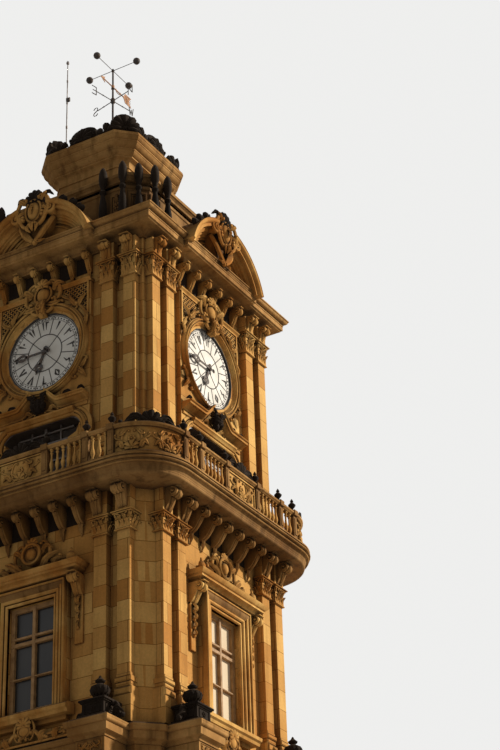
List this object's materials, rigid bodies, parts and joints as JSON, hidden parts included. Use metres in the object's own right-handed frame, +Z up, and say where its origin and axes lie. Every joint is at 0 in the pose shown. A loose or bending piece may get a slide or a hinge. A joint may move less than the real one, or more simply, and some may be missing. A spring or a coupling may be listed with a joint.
{
  "type": "clock tower",
  "caption": "Square stone clock tower in tiers with balcony, dials on every side, carved crown, wind arrow and cup rotor.",
  "frame": {"origin": "centre of the foot, on the ground", "axes": "+Z up, the entrance side faces -Y, +X to the right of someone facing the entrance"},
  "size_m": [8.5, 8.5, 29.875],
  "materials": {
    "limestone": "matt, dressed",
    "weathered_stone": "matt, weathered",
    "carved_stone": "matt, carved",
    "sooty_stone": "matt, darkened by soot",
    "opal_glass": "satin, translucent white",
    "window_glass": "gloss, dark behind",
    "door_wood": "painted, dark",
    "black_iron": "satin black paint",
    "dark_iron": "weathered",
    "gilt_copper": "dull gilt"
  },
  "bodies": {
    "tower": {"base_steps": "weathered_stone", "podium_wall_front": "limestone", "podium_wall_right": "limestone", "podium_wall_back": "limestone", "podium_wall_left": "limestone", "podium_cornice": "weathered_stone", "second_floor": "limestone", "second_wall_front": "limestone", "second_wall_right": "limestone", "second_wall_back": "limestone", "second_wall_left": "limestone", "second_storey_columns": "limestone", "second_entablature": "weathered_stone", "third_floor": "limestone", "urns": "weathered_stone", "window_wall_front": "limestone", "window_wall_right": "limestone", "window_wall_back": "limestone", "window_wall_left": "limestone", "window_hoods": "carved_stone", "window_glazing": "window_glass", "entrance_door": "door_wood", "balcony_slab": "carved_stone", "balcony_consoles": "carved_stone", "balustrade_front": "carved_stone", "balustrade_right": "carved_stone", "balustrade_back": "carved_stone", "balustrade_left": "carved_stone", "balustrade_corners": "carved_stone", "balustrade_finials": "sooty_stone", "clock_wall_front": "limestone", "clock_wall_right": "limestone", "clock_wall_back": "limestone", "clock_wall_left": "limestone", "balcony_doors": "door_wood", "dial_surrounds": "carved_stone", "clock_dials": "opal_glass", "door_hoods": "carved_stone", "main_cornice": "weathered_stone", "cornice_consoles": "carved_stone", "pediments": "weathered_stone", "attic": "sooty_stone", "cornice_finials": "sooty_stone", "crown_cap": "sooty_stone", "crown_ornaments": "sooty_stone", "vane_mast": "dark_iron", "lightning_rod": "dark_iron"},
    "minute_hand_front": {"minute_hand_front": "black_iron"},
    "hour_hand_front": {"hour_hand_front": "black_iron"},
    "minute_hand_right": {"minute_hand_right": "black_iron"},
    "hour_hand_right": {"hour_hand_right": "black_iron"},
    "minute_hand_back": {"minute_hand_back": "black_iron"},
    "hour_hand_back": {"hour_hand_back": "black_iron"},
    "minute_hand_left": {"minute_hand_left": "black_iron"},
    "hour_hand_left": {"hour_hand_left": "black_iron"},
    "wind_arrow": {"wind_arrow": "gilt_copper"},
    "anemometer_rotor": {"anemometer_rotor": "dark_iron"}
  },
  "joints": [
    {"name": "minute_front", "type": "hinge", "parent": "tower", "child": "minute_hand_front", "pos_m": [0, -2.4, 21.1], "axis": [0, 1, 0], "continuous": true},
    {"name": "hour_front", "type": "hinge", "parent": "tower", "child": "hour_hand_front", "pos_m": [0, -2.4, 21.1], "axis": [0, 1, 0], "continuous": true},
    {"name": "minute_right", "type": "hinge", "parent": "tower", "child": "minute_hand_right", "pos_m": [2.4, 0, 21.1], "axis": [-1, 0, 0], "continuous": true},
    {"name": "hour_right", "type": "hinge", "parent": "tower", "child": "hour_hand_right", "pos_m": [2.4, 0, 21.1], "axis": [-1, 0, 0], "continuous": true},
    {"name": "minute_back", "type": "hinge", "parent": "tower", "child": "minute_hand_back", "pos_m": [0, 2.4, 21.1], "axis": [0, -1, 0], "continuous": true},
    {"name": "hour_back", "type": "hinge", "parent": "tower", "child": "hour_hand_back", "pos_m": [0, 2.4, 21.1], "axis": [0, -1, 0], "continuous": true},
    {"name": "minute_left", "type": "hinge", "parent": "tower", "child": "minute_hand_left", "pos_m": [-2.4, 0, 21.1], "axis": [1, 0, 0], "continuous": true},
    {"name": "hour_left", "type": "hinge", "parent": "tower", "child": "hour_hand_left", "pos_m": [-2.4, 0, 21.1], "axis": [1, 0, 0], "continuous": true},
    {"name": "arrow_swing", "type": "hinge", "parent": "tower", "child": "wind_arrow", "pos_m": [0, 0, 29.32], "axis": [0, 0, 1], "continuous": true},
    {"name": "rotor_spin", "type": "hinge", "parent": "tower", "child": "anemometer_rotor", "pos_m": [0, 0, 29.79], "axis": [0, 0, 1], "continuous": true}
  ],
  "couplings": [
    {"joint": "hour_front", "follows": "minute_front", "ratio": 0.083333},
    {"joint": "minute_right", "follows": "minute_front", "ratio": 1},
    {"joint": "hour_right", "follows": "minute_front", "ratio": 0.083333},
    {"joint": "minute_back", "follows": "minute_front", "ratio": 1},
    {"joint": "hour_back", "follows": "minute_front", "ratio": 0.083333},
    {"joint": "minute_left", "follows": "minute_front", "ratio": 1},
    {"joint": "hour_left", "follows": "minute_front", "ratio": 0.083333}
  ]
}
